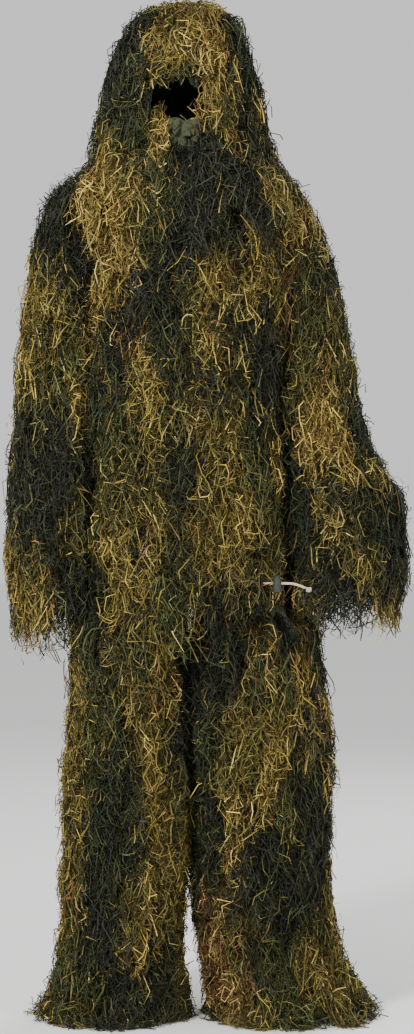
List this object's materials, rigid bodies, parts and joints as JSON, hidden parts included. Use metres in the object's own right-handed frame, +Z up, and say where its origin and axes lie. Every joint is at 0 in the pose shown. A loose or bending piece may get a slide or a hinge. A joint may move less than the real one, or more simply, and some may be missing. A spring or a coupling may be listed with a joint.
{
  "type": "ghillie suit",
  "caption": "Hooded two-piece camouflage suit of net covered in shaggy thread, worn shape, with swinging sleeves and legs, tipping hood and sprung hem cord lock.",
  "frame": {"origin": "middle of the shoulders at the base of the neck, where the suit hangs on its wearer", "axes": "+Z up the wearer's spine, -Y the way the wearer faces, +X the wearer's left"},
  "size_m": [0.728, 0.368, 1.83],
  "materials": {
    "net": "open camouflage netting, matt",
    "threads": "matt wiry thread in olive, ochre and near-black green",
    "leaf_cloth": "leaf-cut woven camouflage cloth",
    "webbing": "woven polyester tape",
    "elastic": "knitted elastic braid",
    "snap_metal": "blackened brass, satin",
    "drawcord": "pale braided cotton cord",
    "lock_plastic": "moulded nylon, fine grain",
    "spring_steel": "bright spring wire"
  },
  "bodies": {
    "jacket": {"collar": "webbing", "jacket_back_net": "net", "jacket_front_left_net": "net", "jacket_front_right_net": "net", "jacket_back_threads": "threads", "jacket_front_left_threads": "threads", "jacket_front_right_threads": "threads", "outer_placket": "webbing", "under_placket": "webbing", "snap_cap_1": "snap_metal", "snap_cap_2": "snap_metal", "snap_cap_3": "snap_metal", "snap_cap_4": "snap_metal", "snap_cap_5": "snap_metal", "snap_stud_1": "snap_metal", "snap_stud_2": "snap_metal", "snap_stud_3": "snap_metal", "snap_stud_4": "snap_metal", "snap_stud_5": "snap_metal", "hem_casing": "webbing", "hem_drawcord": "drawcord", "drawcord_eyelet": "snap_metal", "hem_drawcord_end": "drawcord", "drawcord_knot": "drawcord"},
    "hood_cape": {"hood_neckband": "webbing", "hood_cape_net": "net", "hood_cape_threads": "threads", "chin_panel": "leaf_cloth"},
    "hood": {"hood_net": "net", "hood_threads": "threads", "face_elastic": "elastic"},
    "trousers": {"seat_net": "net", "seat_threads": "threads", "waist_elastic": "elastic"},
    "cord_lock": {"cord_lock_body": "lock_plastic", "cord_lock_spring": "spring_steel"},
    "cord_lock_plunger": {"cord_lock_plunger": "lock_plastic"},
    "left_upper_sleeve": {"left_upper_sleeve_net": "net", "left_upper_sleeve_threads": "threads"},
    "left_lower_sleeve": {"left_lower_sleeve_net": "net", "left_lower_sleeve_threads": "threads", "left_cuff_elastic": "elastic"},
    "right_upper_sleeve": {"right_upper_sleeve_net": "net", "right_upper_sleeve_threads": "threads"},
    "right_lower_sleeve": {"right_lower_sleeve_net": "net", "right_lower_sleeve_threads": "threads", "right_cuff_elastic": "elastic"},
    "left_upper_leg": {"left_upper_leg_net": "net", "left_upper_leg_threads": "threads"},
    "left_lower_leg": {"left_lower_leg_net": "net", "left_lower_leg_threads": "threads", "left_ankle_elastic": "elastic"},
    "right_upper_leg": {"right_upper_leg_net": "net", "right_upper_leg_threads": "threads"},
    "right_lower_leg": {"right_lower_leg_net": "net", "right_lower_leg_threads": "threads", "right_ankle_elastic": "elastic"}
  },
  "joints": [
    {"name": "hood_turn", "type": "hinge", "parent": "jacket", "child": "hood_cape", "pos_m": [-0.015, 0, 0.07], "axis": [0, 0, 1], "range_deg": [-40, 40]},
    {"name": "hood_tip", "type": "hinge", "parent": "hood_cape", "child": "hood", "pos_m": [-0.015, 0.152, 0.07], "axis": [-1, 0, 0], "range_deg": [0, 85]},
    {"name": "left_shoulder_swing", "type": "hinge", "parent": "jacket", "child": "left_upper_sleeve", "pos_m": [0.17, 0, -0.065], "axis": [-1, 0, 0], "range_deg": [-30, 90]},
    {"name": "left_elbow_bend", "type": "hinge", "parent": "left_upper_sleeve", "child": "left_lower_sleeve", "pos_m": [0.23, 0, -0.36], "axis": [-1, 0, 0], "range_deg": [0, 95]},
    {"name": "right_shoulder_swing", "type": "hinge", "parent": "jacket", "child": "right_upper_sleeve", "pos_m": [-0.17, 0, -0.065], "axis": [-1, 0, 0], "range_deg": [-30, 90]},
    {"name": "right_elbow_bend", "type": "hinge", "parent": "right_upper_sleeve", "child": "right_lower_sleeve", "pos_m": [-0.23, 0, -0.36], "axis": [-1, 0, 0], "range_deg": [0, 95]},
    {"name": "trousers_slide", "type": "slide", "parent": "jacket", "child": "trousers", "axis": [0, 0, -1], "range_m": [0, 0.25]},
    {"name": "left_hip_swing", "type": "hinge", "parent": "trousers", "child": "left_upper_leg", "pos_m": [0.08, -0.06, -0.73], "axis": [-1, 0, 0], "range_deg": [-15, 60]},
    {"name": "left_knee_bend", "type": "hinge", "parent": "left_upper_leg", "child": "left_lower_leg", "pos_m": [0.12, 0, -1.01], "axis": [1, 0, 0], "range_deg": [0, 80]},
    {"name": "right_hip_swing", "type": "hinge", "parent": "trousers", "child": "right_upper_leg", "pos_m": [-0.08, -0.06, -0.73], "axis": [-1, 0, 0], "range_deg": [-15, 60]},
    {"name": "right_knee_bend", "type": "hinge", "parent": "right_upper_leg", "child": "right_lower_leg", "pos_m": [-0.12, 0, -1.01], "axis": [1, 0, 0], "range_deg": [0, 80]},
    {"name": "cord_lock_slide", "type": "slide", "parent": "jacket", "child": "cord_lock", "axis": [1, 0, 0], "range_m": [-0.045, 0.006]},
    {"name": "cord_lock_press", "type": "slide", "parent": "cord_lock", "child": "cord_lock_plunger", "axis": [0, 0, -1], "range_m": [0, 0.0035], "stiffness_N_per_m": 800, "springref_m": -0.002, "deforming": ["cord_lock_spring"]}
  ]
}
